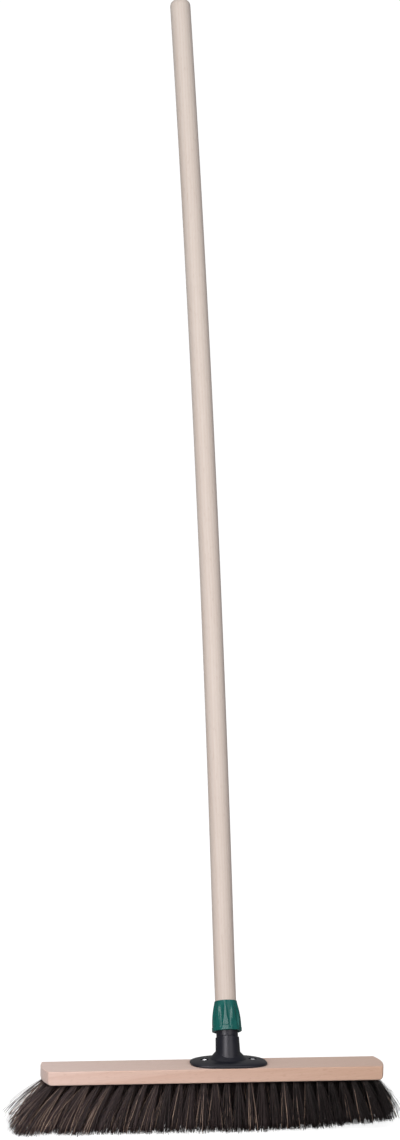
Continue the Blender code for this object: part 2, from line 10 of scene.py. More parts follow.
import bmesh
import bpy
import numpy as np
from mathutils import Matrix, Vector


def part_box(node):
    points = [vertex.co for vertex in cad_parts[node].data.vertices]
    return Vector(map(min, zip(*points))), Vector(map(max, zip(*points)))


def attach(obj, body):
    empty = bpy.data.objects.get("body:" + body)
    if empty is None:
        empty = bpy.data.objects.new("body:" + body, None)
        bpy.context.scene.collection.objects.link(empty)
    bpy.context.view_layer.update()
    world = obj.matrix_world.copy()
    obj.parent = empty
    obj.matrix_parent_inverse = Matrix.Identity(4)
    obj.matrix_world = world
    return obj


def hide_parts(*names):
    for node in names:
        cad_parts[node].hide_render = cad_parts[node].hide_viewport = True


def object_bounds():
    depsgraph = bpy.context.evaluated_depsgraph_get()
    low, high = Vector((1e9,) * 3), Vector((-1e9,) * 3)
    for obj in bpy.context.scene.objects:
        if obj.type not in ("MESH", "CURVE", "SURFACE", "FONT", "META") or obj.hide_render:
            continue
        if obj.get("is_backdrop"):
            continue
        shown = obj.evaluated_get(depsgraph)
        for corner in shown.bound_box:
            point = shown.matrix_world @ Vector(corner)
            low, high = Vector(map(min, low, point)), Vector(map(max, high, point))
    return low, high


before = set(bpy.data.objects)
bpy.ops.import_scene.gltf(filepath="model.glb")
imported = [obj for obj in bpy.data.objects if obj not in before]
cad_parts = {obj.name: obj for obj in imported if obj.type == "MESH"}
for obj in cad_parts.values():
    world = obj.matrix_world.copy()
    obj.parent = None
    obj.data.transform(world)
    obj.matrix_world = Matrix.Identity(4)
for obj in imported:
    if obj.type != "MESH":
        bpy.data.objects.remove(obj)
cad_low, cad_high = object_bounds()
print("CAD nodes:", ", ".join(sorted(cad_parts)))

# %% [markdown]
# ## Sizes that the pieces share
# A new piece has to sit where the CAD model has its own, so most sizes are read from the solids' boxes, in
# metres. Those that no box holds are repeated where they are needed. Everything stands in one frame: the
# bristle tips touch z = 0, and the block runs along X.

# %% The broom head's sizes
MM = 0.001
SAME_PLACE = 0.001 * MM
block_low, block_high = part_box("broom_block")
socket_low, socket_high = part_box("handle_socket")
BLOCK_HALF_LENGTH = block_high[0]
BLOCK_BOTTOM = block_low[2]
BLOCK_TOP = block_high[2]
SOCKET_X = (socket_low[0] + socket_high[0]) / 2
HANDLE_TILT = math.radians(22)
SOCKET_FOOT = np.array([SOCKET_X, 0, BLOCK_TOP])
AXIS = np.array([0, math.sin(HANDLE_TILT), math.cos(HANDLE_TILT)])
BACKWARDS = np.array([0, math.cos(HANDLE_TILT), -math.sin(HANDLE_TILT)])
ROW_TUFTS = (29, 28, 29, 28, 29)
ROW_PITCH = 10.6 * MM
ROW_Y = (np.arange(len(ROW_TUFTS)) - (len(ROW_TUFTS) - 1) / 2) * ROW_PITCH
END_MARGIN = 12.4 * MM
LONG_ROW_HALF = BLOCK_HALF_LENGTH - END_MARGIN
TUFT_PITCH = 2 * LONG_ROW_HALF / (ROW_TUFTS[0] - 1)
HOLE_RADIUS = 2.5 * MM


def tuft_middles(row):
    """Where a row's tufts stand along X: evenly spaced about the block's middle."""
    tufts = ROW_TUFTS[row]
    return (np.arange(tufts) - (tufts - 1) / 2) * TUFT_PITCH


SCREW_SIDES = ("left", "right")
SCREW_MIDDLES = [np.mean(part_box(f"flange_screw_{side}"), axis=0)[:2] for side in SCREW_SIDES]
print("block", round(2 * BLOCK_HALF_LENGTH / MM, 1), "mm long, tufts every", round(TUFT_PITCH / MM, 2), "mm")


# %% [markdown]
# ## Meshes from whole arrays
# Every new surface below is worked out as an array of points. These helpers hand such an array to Blender in
# one go with foreach_set, which is far quicker than adding points one at a time.

# %% Turn arrays into meshes
def mesh_from_arrays(name, points, faces, sharp_degrees=180):
    """A smooth mesh from an array of points and several arrays of faces, one for each number of corners.

    Edges that bend by more than sharp_degrees stay sharp.
    """
    mesh = bpy.data.meshes.new(name)
    corners = np.concatenate([part.ravel() for part in faces]).astype(np.int32)
    sizes = np.concatenate([np.full(len(part), part.shape[1]) for part in faces])
    mesh.vertices.add(len(points))
    mesh.vertices.foreach_set("co", points.astype(np.float32).ravel())
    mesh.loops.add(len(corners))
    mesh.loops.foreach_set("vertex_index", corners)
    mesh.polygons.add(len(sizes))
    mesh.polygons.foreach_set("loop_start", np.concatenate([[0], np.cumsum(sizes)[:-1]]).astype(np.int32))
    mesh.update(calc_edges=True)
    mesh.shade_smooth()
    if sharp_degrees < 180:
        mesh.set_sharp_from_angle(angle=math.radians(sharp_degrees))
    return mesh


def ring_quads(number):
    """Quads between neighbouring rings of point numbers, whose last two axes are rings and points."""
    after = np.roll(number, -1, axis=-1)
    corners = (number[..., :-1, :], number[..., 1:, :], after[..., 1:, :], after[..., :-1, :])
    return np.stack(corners, axis=-1).reshape(-1, 4)


def mesh_from_closed_rings(name, rings, sharp_degrees):
    """A mesh that joins each ring of points to the next and the last ring to the first."""
    number = np.arange(rings[..., 0].size).reshape(rings.shape[:2])
    quads = ring_quads(np.concatenate([number, number[:1]]))
    return mesh_from_arrays(name, rings.reshape(-1, 3), [quads], sharp_degrees)


def add_object(name, data):
    """Puts a mesh, a lamp or a camera in the scene."""
    made = bpy.data.objects.new(name, data)
    bpy.context.scene.collection.objects.link(made)
    return made


def add_piece(name, mesh, finish, body):
    """Puts a mesh in the scene as a piece that rides on a CAD body."""
    piece = add_object(name, mesh)
    mesh.materials.append(finish)
    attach(piece, body)
    return piece


print("two rings of 8 make", len(ring_quads(np.arange(16).reshape(2, 8))), "quads")


# %% [markdown]
# ## Small helpers for shader nodes
# A finish is a tree of nodes. Building one by hand in code is wordy, so these helpers add a node, set what is
# given and link the rest. A value that is the same all over goes straight on the shader's own socket.

# %% Add and link nodes
def add_node(tree, kind, links=None, **settings):
    """Adds a node. settings are its properties, and links gives its sockets a link or a plain value."""
    node = tree.nodes.new(kind)
    for label, value in settings.items():
        setattr(node, label, value)
    for label, value in (links or {}).items():
        if isinstance(value, bpy.types.NodeSocket):
            tree.links.new(value, node.inputs[label])
        else:
            node.inputs[label].default_value = value
    return node


def arithmetic(tree, operation, first, second=0.0):
    """One step of arithmetic on numbers."""
    return add_node(tree, "ShaderNodeMath", {0: first, 1: second}, operation=operation).outputs[0]


def mix(tree, share, first, second, blend="MIX"):
    """Mixes two colours; share 0 gives the first."""
    sockets = {0: share, 6: first, 7: second}
    return add_node(tree, "ShaderNodeMix", sockets, data_type="RGBA", blend_type=blend).outputs[2]


def spread(tree, value, low, high, to_low=0.0, to_high=1.0):
    """Stretches a number so that low becomes to_low and high becomes to_high, and goes no further."""
    sockets = {"Value": value, "From Min": low, "From Max": high, "To Min": to_low, "To Max": to_high}
    return add_node(tree, "ShaderNodeMapRange", sockets).outputs["Result"]


def noise(tree, vector, scale, detail=2.0, roughness=0.5):
    """Soft noise with blobs of about one over scale, in metres."""
    sockets = {"Vector": vector, "Scale": scale, "Detail": detail, "Roughness": roughness}
    return add_node(tree, "ShaderNodeTexNoise", sockets)


def vectors(tree, operation, first, second):
    """One step of arithmetic on positions."""
    return add_node(tree, "ShaderNodeVectorMath", {0: first, 1: second}, operation=operation).outputs[0]


# %% Groups and materials
def new_group(name, inputs, outputs):
    """A shader node group: inputs are (label, kind, value), outputs are labels of numbers."""
    group = bpy.data.node_groups.new(name, "ShaderNodeTree")
    for label, kind, value in inputs:
        made = group.interface.new_socket(label, in_out="INPUT", socket_type=kind)
        if value is not None:
            made.default_value = value
    for label in outputs:
        group.interface.new_socket(label, in_out="OUTPUT", socket_type="NodeSocketFloat")
    return group, add_node(group, "NodeGroupInput").outputs, add_node(group, "NodeGroupOutput")


def place_group(tree, group, links):
    """Puts a node group in a material and returns its outputs."""
    return add_node(tree, "ShaderNodeGroup", links, node_tree=group).outputs


def new_material(name, roughness, **plain):
    """A Principled material, with plain values on the shader's own sockets."""
    made = bpy.data.materials.new(name)
    made.use_nodes = True
    shader = made.node_tree.nodes["Principled BSDF"]
    shader.inputs["Roughness"].default_value = roughness
    for label, value in plain.items():
        shader.inputs[label.replace("_", " ")].default_value = value
    return made, made.node_tree, shader


# %% Positions, bumps and reports
def object_position(tree, turn=(0, 0, 0), shift=(0, 0, 0)):
    """Object coordinates in metres, turned and then shifted."""
    place = add_node(tree, "ShaderNodeTexCoord").outputs["Object"]
    links = {"Vector": place, "Rotation": turn, "Location": shift}
    return add_node(tree, "ShaderNodeMapping", links).outputs[0]


def far_from_origin(tree, position):
    """How far a position lies from the origin."""
    return add_node(tree, "ShaderNodeVectorMath", {0: position}, operation="LENGTH").outputs["Value"]


def raise_surface(tree, shader, height, strength, distance):
    """Lets a height push the surface's shading in and out."""
    bump = add_node(tree, "ShaderNodeBump", {"Height": height, "Strength": strength, "Distance": distance})
    tree.links.new(bump.outputs[0], shader.inputs["Normal"])


def report(finish):
    """Prints how many nodes a finish has."""
    print(finish.name, "has", len(finish.node_tree.nodes), "nodes")


# %% [markdown]
# ## Wood grain
# Both wooden pieces are cut along the trunk. Wood seen along its length shows three things: soft growth
# rings, which are slices of cones round the trunk's middle, fine fibres that run with the grain, and in beech
# many short dark flecks. A picture of wood would repeat and show its edges, so a group works it all out, in a
# frame whose Z axis is the grain. The rings are the distance from the trunk's middle, made uneven by noise.

# %% A node group for grain
# Squeeze, scale, detail and roughness of each noise.
WANDER_NOISE = (0.12, 22, 3, 0.5)
FIBRE_NOISE = (0.03, 1300, 2, 0.6)
FLECK_NOISE = (0.16, 900, 0, 0.5)
DRIFT_NOISE = (0.2, 16, 3, 0.5)
LATE_WOOD_POWER = 3.0
EARLY_WOOD_POWER = 12.0


def grain_noise(tree, position, squeeze, scale, detail, roughness):
    """Noise that is stretched along the grain, because its position is squeezed along Z."""
    return noise(tree, vectors(tree, "MULTIPLY", position, (1, 1, squeeze)), scale, detail, roughness)


def make_grain_group():
    """Rings: the distance from the trunk's middle as a saw-tooth, darkest where each ring ends.

    Fibres, flecks and drift are stretched noise, fine, sparse and broad.
    """
    group, given, out = new_group(
        "wood_grain",
        [("Position", "NodeSocketVector", None), ("Trunk Middle", "NodeSocketVector", None),
         ("Ring Width", "NodeSocketFloat", 0.003), ("Wander", "NodeSocketFloat", 0.004)],
        ["Rings", "Fibres", "Flecks", "Drift"])
    position = given["Position"]
    wander = grain_noise(group, position, *WANDER_NOISE).outputs["Color"]
    wander = {0: vectors(group, "SUBTRACT", wander, (0.5, 0.5, 0.5)), "Scale": given["Wander"]}
    wander = add_node(group, "ShaderNodeVectorMath", wander, operation="SCALE").outputs[0]
    moved = vectors(group, "ADD", vectors(group, "ADD", position, wander), given["Trunk Middle"])
    far = far_from_origin(group, vectors(group, "MULTIPLY", moved, (1, 1, 0)))
    age = arithmetic(group, "FRACT", arithmetic(group, "DIVIDE", far, given["Ring Width"]))
    late = arithmetic(group, "POWER", age, LATE_WOOD_POWER)
    early = arithmetic(group, "POWER", arithmetic(group, "SUBTRACT", 1.0, age), EARLY_WOOD_POWER)
    group.links.new(arithmetic(group, "ADD", late, early), out.inputs["Rings"])
    fibres = grain_noise(group, position, *FIBRE_NOISE).outputs["Fac"]
    group.links.new(spread(group, fibres, 0.3, 0.7), out.inputs["Fibres"])
    flecks = grain_noise(group, position, *FLECK_NOISE).outputs["Fac"]
    group.links.new(spread(group, flecks, 0.66, 0.74), out.inputs["Flecks"])
    drift = grain_noise(group, position, *DRIFT_NOISE).outputs["Fac"]
    group.links.new(spread(group, drift, 0.3, 0.7), out.inputs["Drift"])
    return group


def along_grain(tree, position, start, end):
    """How far along the grain a position lies: 0 at the start and 1 at the end."""
    along = add_node(tree, "ShaderNodeSeparateXYZ", {0: position}).outputs["Z"]
    return spread(tree, along, start, end)


def finish_wood(tree, shader, tone, grain, marks, dullness, bump, depth):
    """Multiplies the tone by the factors of each mark. The fibres also lead the roughness and the bump."""
    for mark, strength, factors in marks:
        share = arithmetic(tree, "MULTIPLY", grain[mark], strength)
        tone = mix(tree, share, tone, (*factors, 1), blend="MULTIPLY")
    tree.links.new(tone, shader.inputs["Base Color"])
    tree.links.new(spread(tree, grain["Fibres"], 0, 1, *dullness), shader.inputs["Roughness"])
    raise_surface(tree, shader, grain["Fibres"], bump, depth)


GRAIN = make_grain_group()
print("wood grain group:", len(GRAIN.nodes), "nodes")


# %% [markdown]
# ## Beech for the block
# The block is plain sanded beech, with its grain along the length. Its tone is painted darker and browner
# towards the right end: painted shade, as the lamps light the left end more. The surface is dull, so the
# roughness is high, and the bump is only as deep as a sanded fibre.

# %% The block's finish
GRAIN_TO_X = math.radians(-84)
# Painted shade: the beech is darker and browner at the right end, where less lamp light falls.
BEECH_LIT_LEFT = (0.71, 0.525, 0.465, 1)
BEECH_SHADED_RIGHT = (0.59, 0.375, 0.275, 1)
BEECH_BLEND = 0.7
# Output of the grain group, strength and factors of each mark.
BEECH_MARKS = (("Drift", 0.6, (0.95, 0.92, 0.90)), ("Rings", 0.6, (0.88, 0.80, 0.75)),
               ("Fibres", 0.5, (0.90, 0.85, 0.82)), ("Flecks", 0.25, (0.70, 0.60, 0.55)))


def make_beech():
    """Beech: painted shade darkens the tone to the right, and rings, fibres and flecks darken it a little."""
    made, tree, shader = new_material(
        "block_beech", 0.5, Specular_IOR_Level=0.45, Sheen_Weight=0.35, Sheen_Roughness=0.5)
    position = object_position(tree, turn=(0, GRAIN_TO_X, 0))
    grain = place_group(tree, GRAIN, {
        "Position": position, "Trunk Middle": (0.05, 0.09, 0), "Ring Width": 5.5 * MM, "Wander": 11 * MM})
    share = along_grain(tree, position, -BLOCK_HALF_LENGTH, BLOCK_HALF_LENGTH)
    # Painted shade: the tone darkens from the left end to the right.
    tone = mix(tree, arithmetic(tree, "POWER", share, BEECH_BLEND), BEECH_LIT_LEFT, BEECH_SHADED_RIGHT)
    finish_wood(tree, shader, tone, grain, BEECH_MARKS, dullness=(0.45, 0.6), bump=0.25, depth=0.15 * MM)
    return made


BEECH = make_beech()
report(BEECH)


# %% [markdown]
# ## Pale wood for the handle
# The handle is a turned and sanded rod of a paler wood, left bare. Its grain runs along the rod, which leans
# back, so the pattern is turned by the same angle and centred on the rod's own axis. Its tone is painted
# paler towards the top: painted light, as the top stands further from the lamp and gets less of its light.

# %% The handle's finish
HANDLE_REACH = (cad_high[2] - BLOCK_TOP) / math.cos(HANDLE_TILT)
HANDLE_LOW = (0.57, 0.487, 0.44, 1)
# Painted light: a paler tone for the rod's top, which gets less lamp light.
HANDLE_LIT_TOP = (0.654, 0.58, 0.528, 1)
HANDLE_MARKS = (("Drift", 1.0, (0.97, 0.95, 0.94)), ("Rings", 0.5, (0.92, 0.86, 0.82)),
                ("Fibres", 0.4, (0.92, 0.88, 0.85)), ("Flecks", 0.2, (0.75, 0.65, 0.60)))


def make_handle_wood():
    """Pale wood: the same grain with fainter rings, turned to run along the leaning rod."""
    made, tree, shader = new_material(
        "handle_wood_bare", 0.55, Specular_IOR_Level=0.4, Sheen_Weight=0.2, Sheen_Roughness=0.5)
    shift = (-SOCKET_X, math.sin(HANDLE_TILT) * BLOCK_TOP, -math.cos(HANDLE_TILT) * BLOCK_TOP)
    position = object_position(tree, turn=(HANDLE_TILT, 0, 0), shift=shift)
    grain = place_group(tree, GRAIN, {
        "Position": position, "Trunk Middle": (0.06, 0.02, 0), "Ring Width": 3.4 * MM, "Wander": 9 * MM})
    # Painted light: the tone pales towards the top of the rod.
    tone = mix(tree, along_grain(tree, position, 0, HANDLE_REACH), HANDLE_LOW, HANDLE_LIT_TOP)
    finish_wood(tree, shader, tone, grain, HANDLE_MARKS, dullness=(0.5, 0.65), bump=0.15, depth=0.1 * MM)
    return made


HANDLE_WOOD = make_handle_wood()
report(HANDLE_WOOD)


# %% [markdown]
# ## Moulded plastic
# The socket and the nut are injection moulded. Such a skin is nearly smooth, with a fine spark-eroded
# texture, and use leaves duller smudges where hands and floors touch it. Both plastics share this group.

# %% A node group for moulded skin
TEXTURE_SCALE = 1800.0
SMUDGE_SCALE = 70


def make_skin_group():
    """Texture: very fine noise. Smudge: broad noise, cut so that it comes in patches."""
    group, given, out = new_group(
        "moulded_skin",
        [("Position", "NodeSocketVector", None), ("Texture Scale", "NodeSocketFloat", TEXTURE_SCALE)],
        ["Texture", "Smudge"])
    fine = noise(group, given["Position"], given["Texture Scale"], 1).outputs["Fac"]
    group.links.new(fine, out.inputs["Texture"])
    broad = noise(group, given["Position"], SMUDGE_SCALE, 4, 0.6).outputs["Fac"]
    group.links.new(spread(group, broad, 0.4, 0.65), out.inputs["Smudge"])
    return group


SKIN = make_skin_group()


def make_plastic(name, colour, worn, roughness, dull, **plain):
    """Moulded plastic: smudges are duller and take a little of the worn colour."""
    made, tree, shader = new_material(name, roughness, **plain)
    skin = place_group(tree, SKIN, {"Position": object_position(tree)})
    tone = mix(tree, skin["Smudge"], (*colour, 1), (*worn, 1))
    tree.links.new(tone, shader.inputs["Base Color"])
    tree.links.new(spread(tree, skin["Smudge"], 0, 1, roughness, dull), shader.inputs["Roughness"])
    raise_surface(tree, shader, skin["Texture"], 0.08, 0.05 * MM)
    return made


BLACK_PLASTIC = make_plastic(
    "socket_black", (0.004, 0.005, 0.010), (0.007, 0.0075, 0.012), 0.33, 0.41, Specular_IOR_Level=0.42,
    Specular_Tint=(1.0, 0.95, 1.0, 1))
GREEN_PLASTIC = make_plastic(
    "nut_green", (0.002, 0.082, 0.072), (0.003, 0.096, 0.085), 0.25, 0.3, Specular_IOR_Level=0.36)
print("plastics share", SKIN.name)


# %% [markdown]
# ## Steel for the screws
# Zinc-plated screws are bright and a little uneven, as the plating grows in fine crystals. A picture of the
# metal could be laid on them, but noise at the crystals' size does the same and fits any shape.

# %% The screws' finish
CRYSTAL_SCALE = 2500
STEEL_BRIGHT = (0.95, 0.95, 0.98, 1)
STEEL_DULL = (0.85, 0.85, 0.89, 1)


def make_plated_steel():
    """Bright metal whose tone and roughness follow fine noise."""
    made, tree, shader = new_material("screw_plated_steel", 0.28, Metallic=1.0)
    crystals = noise(tree, object_position(tree), CRYSTAL_SCALE, 2).outputs["Fac"]
    tone = mix(tree, crystals, STEEL_BRIGHT, STEEL_DULL)
    tree.links.new(tone, shader.inputs["Base Color"])
    tree.links.new(spread(tree, crystals, 0.3, 0.7, 0.3, 0.45), shader.inputs["Roughness"])
    return made


STEEL = make_plated_steel()
report(STEEL)


# %% [markdown]
# ## Dressing the CAD solids
# The block, the handle and the socket have their true shapes already, but as loose triangles, which show
# every facet. So each gets a copy whose triangles are joined at their corners and shaded smooth, except
# across edges that are really sharp. The larger faces have more say in the shading, so flat faces stay flat
# beside their rounded edges. The copy then stands for the solid.

# %% Copy, join and smooth a CAD node
SHARP_ANGLE = math.radians(38)
RECESS_RADIUS = 5 * MM
RIM_TOLERANCE = 0.06 * MM


def joined_copy(node, name):
    """The node's mesh under a new name, with corners that share a place joined, and smooth up to an angle."""
    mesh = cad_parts[node].data.copy()
    mesh.name = name
    mesh.materials.clear()
    shape = bmesh.new()
    shape.from_mesh(mesh)
    bmesh.ops.remove_doubles(shape, verts=shape.verts, dist=SAME_PLACE)
    shape.to_mesh(mesh)
    shape.free()
    mesh.shade_smooth()
    mesh.set_sharp_from_angle(angle=SHARP_ANGLE)
    return mesh


def keep_rims_sharp(mesh, middles):
    """Marks the edges whose two ends lie on a screw recess: an upright cylinder round one of the middles."""
    place = np.empty(len(mesh.vertices) * 3, dtype=np.float32)
    mesh.vertices.foreach_get("co", place)
    ends = np.empty(len(mesh.edges) * 2, dtype=np.int32)
    mesh.edges.foreach_get("vertices", ends)
    sharp = np.empty(len(mesh.edges), dtype=bool)
    marks = mesh.attributes["sharp_edge"].data
    marks.foreach_get("value", sharp)
    for middle in middles:
        far = np.linalg.norm(place.reshape(-1, 3)[:, :2] - middle, axis=1)
        on_rim = np.abs(far - RECESS_RADIUS) < RIM_TOLERANCE
        sharp |= on_rim[ends.reshape(-1, 2)].all(axis=1)
    marks.foreach_set("value", sharp)
    print("sharp edges:", int(sharp.sum()), "of", len(sharp))


# %% Put the copies in place
for node, name, finish, body, slot in (
        ("broom_block", "beech_block", BEECH, "head", "block_wood"),
        ("handle_socket", "socket_moulding", BLACK_PLASTIC, "head", "socket_plastic"),
        ("handle", "handle_rod", HANDLE_WOOD, "handle", "handle_wood")):
    piece = add_piece(name, joined_copy(node, name), finish, body)
    shading = piece.modifiers.new("even_shading", "WEIGHTED_NORMAL")
    shading.keep_sharp = True
    if name == "socket_moulding":
        keep_rims_sharp(piece.data, SCREW_MIDDLES)
    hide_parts(node)
    print(name, "has", len(piece.data.polygons), "faces")


# %% [markdown]
# ## The clamp nut
# The nut is turned by hand, so it has ten flutes for the fingers. The flat ridges between them are broad at
# the foot and narrow to a point near the rim. The CAD model has few facets here, so the nut is made again,
# fine enough for its highlights. It could be a turned solid cut by ten cutters. A grid is simpler: its
# columns follow the ridges' edges, and the radius is a profile less the depth of the flutes.

# %% The nut's sizes
NUT_START = 38 * MM
NUT_LENGTH = 36 * MM
NUT_BAND_RADIUS = 17.6 * MM
NUT_BAND_HEIGHT = 4.8 * MM
NUT_FOOT_EDGE = 0.6 * MM
NUT_GROOVE_DEPTH = 0.4 * MM
NUT_GROOVE_WIDTH = 0.9 * MM
NUT_RIDGE_RADIUS = 17.2 * MM
NUT_RIM_RADIUS = 13.3 * MM
NUT_RIM_EDGE = 0.35 * MM
NUT_DRAW_IN = 2.2
# Radius and height of each corner down the bore.
NUT_BORE = ((12.8 * MM, NUT_LENGTH), (12.8 * MM, 25 * MM), (13.7 * MM, 25 * MM), (14.4 * MM, 19 * MM),
            (14.4 * MM, 0.0))
FLUTES = 10
FLUTE_DEPTH = 1.7 * MM
FLUTE_FOOT = 2.2 * MM
RIDGE_TURN = math.radians(-14)
RIDGE_WIDTHS = (0.68, 0.10)
RIDGE_NARROWING = 1.7
RIDGE_COLUMNS = 8
FLUTE_COLUMNS = 12
print("ridges", round(math.tau * NUT_RIDGE_RADIUS * RIDGE_WIDTHS[0] / FLUTES / MM, 1), "mm wide")

# %% Rows up the nut
EDGE_ROWS = 5
BAND_ROWS = 8
GROOVE_ROWS = 6
FLUTED_ROWS = 40
FLUTE_START = 0.2


def nut_rows():
    """Height, radius, flute depth and ridge width of each level ring outside.

    The band is upright with a rounded foot. Above a fine groove, the radius draws in with a power of the
    height's share, the flutes' depth follows a sine, and the ridges narrow.
    """
    turn = np.linspace(0, math.pi / 2, EDGE_ROWS)
    foot = NUT_FOOT_EDGE * (1 - np.cos(turn))
    foot_radius = NUT_BAND_RADIUS - NUT_FOOT_EDGE * (1 - np.sin(turn))
    band = np.linspace(NUT_FOOT_EDGE, NUT_BAND_HEIGHT, BAND_ROWS)[1:]
    top = NUT_BAND_HEIGHT + NUT_GROOVE_WIDTH
    groove = np.linspace(NUT_BAND_HEIGHT, top, GROOVE_ROWS)[1:-1]
    share = np.linspace(0, 1, FLUTED_ROWS)
    height = np.concatenate([foot, band, groove, top + share * (NUT_LENGTH - NUT_RIM_EDGE - top)])
    above = np.clip((height - top) / (NUT_LENGTH - top), 0, 1)
    radius = np.concatenate([foot_radius, np.full(len(band) + len(groove), NUT_BAND_RADIUS),
                             NUT_RIDGE_RADIUS + share ** NUT_DRAW_IN * (NUT_RIM_RADIUS - NUT_RIDGE_RADIUS)])
    run_out = np.clip((height - FLUTE_FOOT) / (NUT_BAND_HEIGHT - FLUTE_FOOT), 0, 1)
    hollow = FLUTE_DEPTH * run_out * np.sin(math.pi * (FLUTE_START + (1 - FLUTE_START) * above))
    ridge = RIDGE_WIDTHS[1] + (RIDGE_WIDTHS[0] - RIDGE_WIDTHS[1]) * (1 - above) ** RIDGE_NARROWING
    return height, radius, hollow, ridge


print("rings outside:", len(nut_rows()[0]))


# %% The nut's surface
def nut_mesh():
    """Rings outside from foot to rim, a rounded rim, and the bore back down to the first ring.

    Across a flute the depth is a parabola, and across a ridge the surface is a chord of the circle.
    """
    height, radius, hollow, ridge = nut_rows()
    over_ridge = np.linspace(0, 1, RIDGE_COLUMNS)
    over_flute = np.linspace(0, 1, FLUTE_COLUMNS + 2)[1:-1]
    width = ridge[:, None]
    column = np.concatenate([width * (over_ridge - 0.5), width / 2 + (1 - width) * over_flute], axis=1)
    pitch = math.tau / FLUTES
    flat = radius[:, None] * (1 - np.cos(width * pitch / 2) / np.cos(width * pitch * (over_ridge - 0.5)))
    depth = np.concatenate([flat, hollow[:, None] * 4 * over_flute * (1 - over_flute)], axis=1)
    turn = (np.arange(FLUTES)[None, :, None] + column[:, None]) * pitch + RIDGE_TURN - math.pi / 2
    turn = turn.reshape(len(height), -1)
    out = radius[:, None] - np.tile(depth, (1, FLUTES))
    in_groove = (height > NUT_BAND_HEIGHT) & (height < NUT_BAND_HEIGHT + NUT_GROOVE_WIDTH)
    out[in_groove] = np.minimum(out[in_groove], NUT_RIDGE_RADIUS - NUT_GROOVE_DEPTH)
    quarter = np.linspace(0, math.pi / 2, EDGE_ROWS)[1:]
    rim = np.stack([NUT_RIM_RADIUS - NUT_RIM_EDGE * (1 - np.cos(quarter)),
                    NUT_LENGTH - NUT_RIM_EDGE * (1 - np.sin(quarter))], axis=1)
    plain = np.concatenate([rim, NUT_BORE])
    out = np.concatenate([out, np.repeat(plain[:, :1], turn.shape[1], axis=1)])
    turn = np.concatenate([turn, np.repeat(turn[-1:], len(plain), axis=0)])
    height = np.concatenate([height, plain[:, 1]])[:, None, None] + NUT_START
    points = SOCKET_FOOT + height * AXIS + (out * np.cos(turn))[..., None] * (1, 0, 0)
    points = points + (out * np.sin(turn))[..., None] * BACKWARDS
    return mesh_from_closed_rings("fluted_nut", points, sharp_degrees=55)


nut = add_piece("fluted_nut", nut_mesh(), GREEN_PLASTIC, "nut")
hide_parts("clamp_nut")
print("the nut has", len(nut.data.polygons), "faces")


# %% [markdown]
# ## The neck's flare
# At its two sides the neck runs out into the flange in a wide hollow curve, which stops it from snapping off.
# The CAD socket has a smaller curve, so a ring of the same plastic lies over it. The ring could be a bevel on
# a joined mesh, but its width changes as it goes round. So in each direction it is a Bezier curve from the
# dome to the neck, whose middle point is where the two would meet.

# %% The flare's sizes
FLANGE_HALF_LENGTH = 45.5 * MM
FLANGE_HALF_DEPTH = 27.7 * MM
FLANGE_SQUARENESS = 2.8
RIM_HEIGHT = 1.9 * MM
DOME_HEIGHT = 5.9 * MM
CAD_FILLET = 4.5 * MM
NECK_RADIUS = 14.6 * MM
NECK_TOP_RADIUS = 13.9 * MM
NECK_TOP = 31 * MM
FLARE_SIZE = 4.8 * MM
FLARE_SIDEWAYS = 3.6 * MM
FLARE_SINK = 0.03 * MM
FLARE_COLUMNS = 128
FLARE_ROWS = 14
print("flare", round((FLARE_SIZE + FLARE_SIDEWAYS) / MM, 1), "mm wide at the sides")


# %% The flare's surface
def neck_slice(turn, level, radius):
    """The neck's outline where a level plane cuts it; its height along the axis grows towards the back."""
    along = (level + radius * np.sin(turn) * math.sin(HANDLE_TILT)) / math.cos(HANDLE_TILT)
    outwards = np.outer(np.cos(turn), (1, 0, 0)) + np.outer(np.sin(turn), BACKWARDS)
    return np.outer(along, AXIS) + np.broadcast_to(radius, turn.shape)[:, None] * outwards, along


def flare_mesh():
    """Bezier curves from dome to neck, in a closed ring whose hidden side lies inside the socket."""
    turn = np.linspace(0, math.tau, FLARE_COLUMNS, endpoint=False)
    size = FLARE_SIZE + FLARE_SIDEWAYS * np.cos(turn) ** 2
    power = 2 / FLANGE_SQUARENESS
    rim_x = FLANGE_HALF_LENGTH * np.sign(np.cos(turn)) * np.abs(np.cos(turn)) ** power
    rim_y = FLANGE_HALF_DEPTH * np.sign(np.sin(turn)) * np.abs(np.sin(turn)) ** power
    corner, _ = neck_slice(turn, DOME_HEIGHT, NECK_RADIUS)
    outwards = np.stack([rim_x - corner[:, 0], rim_y - corner[:, 1], 0 * rim_x], axis=1)
    reach = np.linalg.norm(outwards, axis=1)
    outwards /= reach[:, None]
    down = (size - CAD_FILLET) / (reach - CAD_FILLET)
    foot = corner + size[:, None] * outwards
    foot[:, 2] = RIM_HEIGHT + (DOME_HEIGHT - RIM_HEIGHT) * np.sqrt(1 - down ** 2) - FLARE_SINK
    _, cad_end = neck_slice(turn, DOME_HEIGHT + CAD_FILLET, NECK_RADIUS)
    _, along = neck_slice(turn, DOME_HEIGHT + size, NECK_RADIUS)
    drawn_in = (NECK_RADIUS - NECK_TOP_RADIUS) * (along - cad_end) / (NECK_TOP - cad_end)
    head, _ = neck_slice(turn, DOME_HEIGHT + size, NECK_RADIUS - drawn_in - FLARE_SINK)
    t = np.linspace(0, 1, FLARE_ROWS)[:, None, None]
    curve = (1 - t) ** 2 * foot + 2 * (1 - t) * t * corner + t ** 2 * head
    inside_head = head - outwards * MM
    inside_foot = foot - (0, 0, MM)
    rings = np.concatenate([curve, inside_head[None], inside_foot[None]]) + SOCKET_FOOT
    return mesh_from_closed_rings("neck_flare", rings, sharp_degrees=50)


flare = add_piece("neck_flare", flare_mesh(), BLACK_PLASTIC, "head")
print("the flare has", len(flare.data.polygons), "faces")


# %% [markdown]
# ## Screws
# Two round-headed wood screws hold the socket. The CAD model has them plain. The real ones have a cross
# recess for the driver and a coarse thread. Both are heights on a turned surface: the recess lowers the head
# inside a cross, and the thread raises the shank along a helix, so no cutting is needed.

